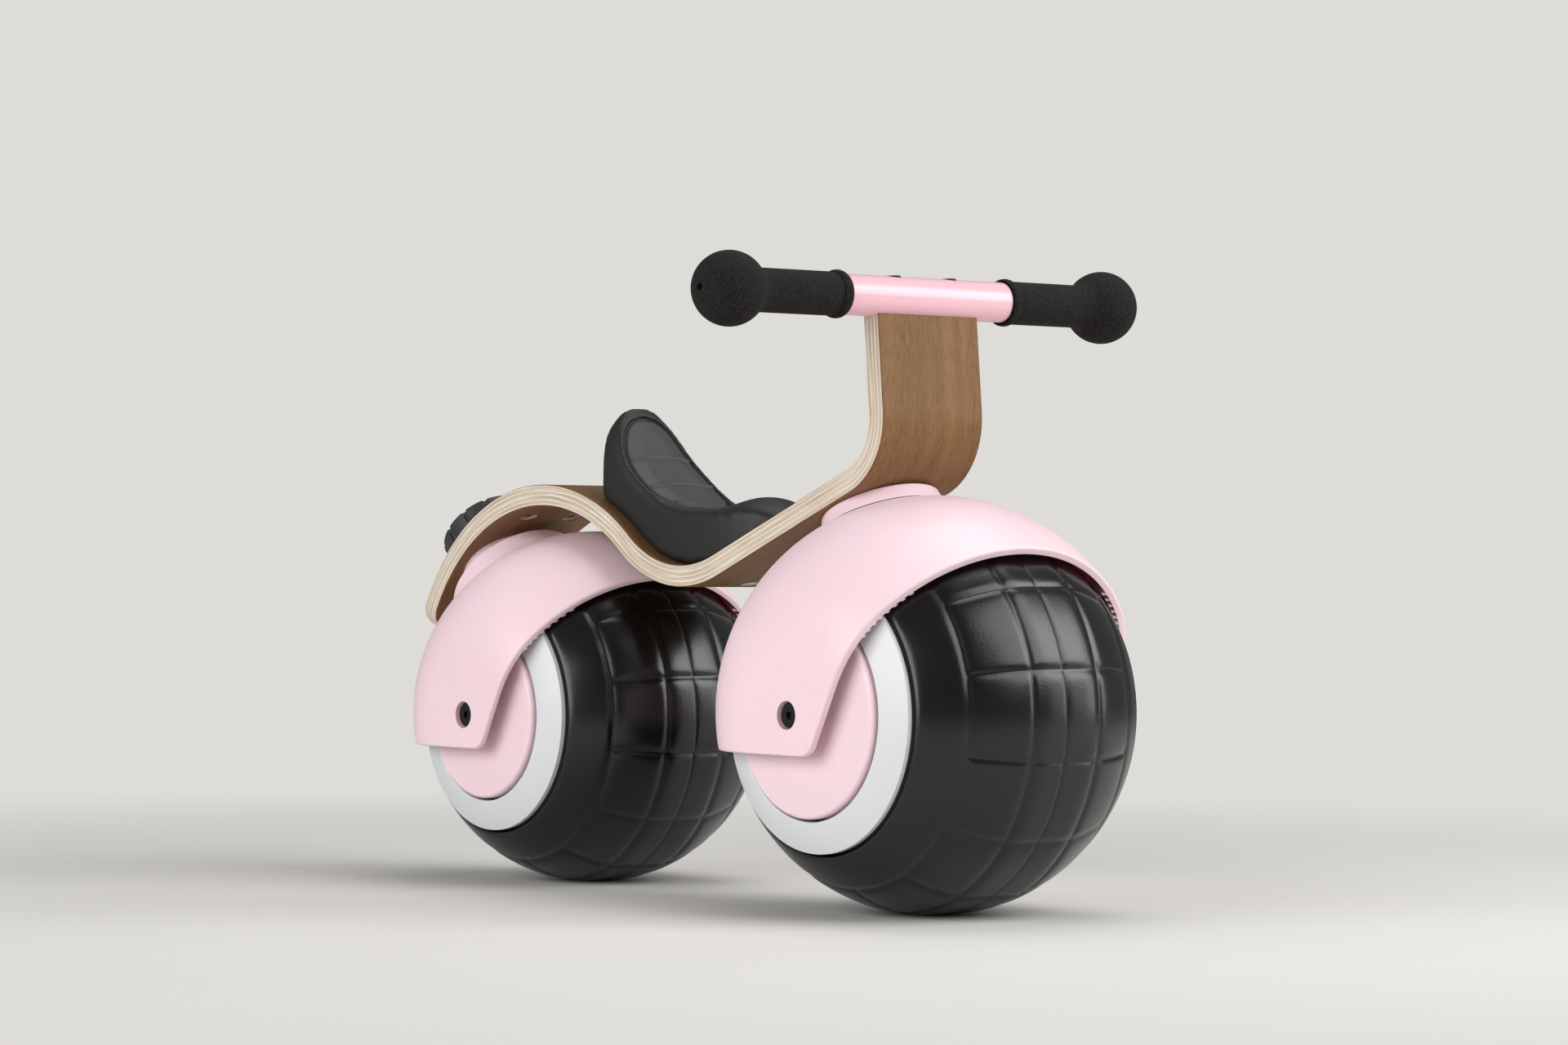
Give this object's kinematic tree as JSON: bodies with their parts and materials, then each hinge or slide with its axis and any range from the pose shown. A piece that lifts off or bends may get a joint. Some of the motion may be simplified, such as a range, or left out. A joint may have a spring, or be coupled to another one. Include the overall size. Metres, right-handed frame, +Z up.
{
  "type": "toddler balance bike",
  "caption": "Ride-on balance bike: bent plywood ribbon frame, ridged saddle with backrest, fixed handlebar, and wide ball tyres in glossy helmet fenders that turn as forks.",
  "frame": {"origin": "on the floor, under the middle of the overall box", "axes": "+X forward, +Y to the rider's left, +Z up"},
  "size_m": [0.5429, 0.3086, 0.3546],
  "materials": {
    "birch_ply": "clear satin lacquer",
    "saddle_skin": "matt, finely grained",
    "grip_foam": "matt foam",
    "pink_gloss": "high gloss",
    "pink_paint": "high gloss",
    "white_gloss": "satin gloss",
    "tyre_black": "satin",
    "hub_plastic": "plain",
    "black_plastic": "satin",
    "steel": "zinc plated",
    "black_steel": "black oxide",
    "brass": "plain",
    "bush_plastic": "acetal"
  },
  "bodies": {
    "frame": {"ply_frame": "birch_ply", "saddle": "saddle_skin", "saddle_screws": "steel", "bar_core_tube": "steel", "bar_sleeve": "pink_paint", "grip_left": "grip_foam", "grip_right": "grip_foam", "bar_screws": "black_steel", "barrel_nuts": "steel", "hump_inserts": "brass", "rear_pivot_cap": "black_plastic", "rear_pivot_pedestal": "pink_gloss", "front_pivot_collar": "pink_gloss", "front_collar_screws": "steel", "front_pivot_bush": "bush_plastic", "rear_pivot_collar": "pink_gloss", "rear_collar_screws": "steel", "rear_pivot_bush": "bush_plastic"},
    "front_fork": {"front_fender": "pink_gloss", "front_king_pin": "steel", "front_thrust_washer": "bush_plastic", "front_pivot_washer": "steel", "front_pivot_nut": "steel", "front_axle": "steel", "front_axle_bolts": "black_steel", "front_axle_spacers": "steel"},
    "front_wheel": {"front_tyre": "tyre_black", "front_hub_left": "hub_plastic", "front_hub_right": "hub_plastic", "front_ring_left": "white_gloss", "front_ring_right": "white_gloss", "front_hub_disc_left": "pink_gloss", "front_hub_disc_right": "pink_gloss", "front_bearings": "steel"},
    "rear_fork": {"rear_fender": "pink_gloss", "rear_king_pin": "steel", "rear_thrust_washer": "bush_plastic", "rear_pivot_washer": "steel", "rear_pivot_nut": "steel", "rear_axle": "steel", "rear_axle_bolts": "black_steel", "rear_axle_spacers": "steel"},
    "rear_wheel": {"rear_tyre": "tyre_black", "rear_hub_left": "hub_plastic", "rear_hub_right": "hub_plastic", "rear_ring_left": "white_gloss", "rear_ring_right": "white_gloss", "rear_hub_disc_left": "pink_gloss", "rear_hub_disc_right": "pink_gloss", "rear_bearings": "steel"}
  },
  "joints": [
    {"name": "front_steer", "type": "hinge", "parent": "frame", "child": "front_fork", "pos_m": [0.16193, 0, 0.1093], "axis": [-0.3762, 0, 0.9265], "range_deg": [-15, 15]},
    {"name": "front_wheel_spin", "type": "hinge", "parent": "front_fork", "child": "front_wheel", "pos_m": [0.16193, 0, 0.1093], "axis": [0, 1, 0], "continuous": true},
    {"name": "rear_steer", "type": "hinge", "parent": "frame", "child": "rear_fork", "pos_m": [-0.14107, 0, 0.0993], "axis": [-0.7157, 0, 0.6984], "range_deg": [-15, 15]},
    {"name": "rear_wheel_spin", "type": "hinge", "parent": "rear_fork", "child": "rear_wheel", "pos_m": [-0.14107, 0, 0.0993], "axis": [0, 1, 0], "continuous": true}
  ]
}
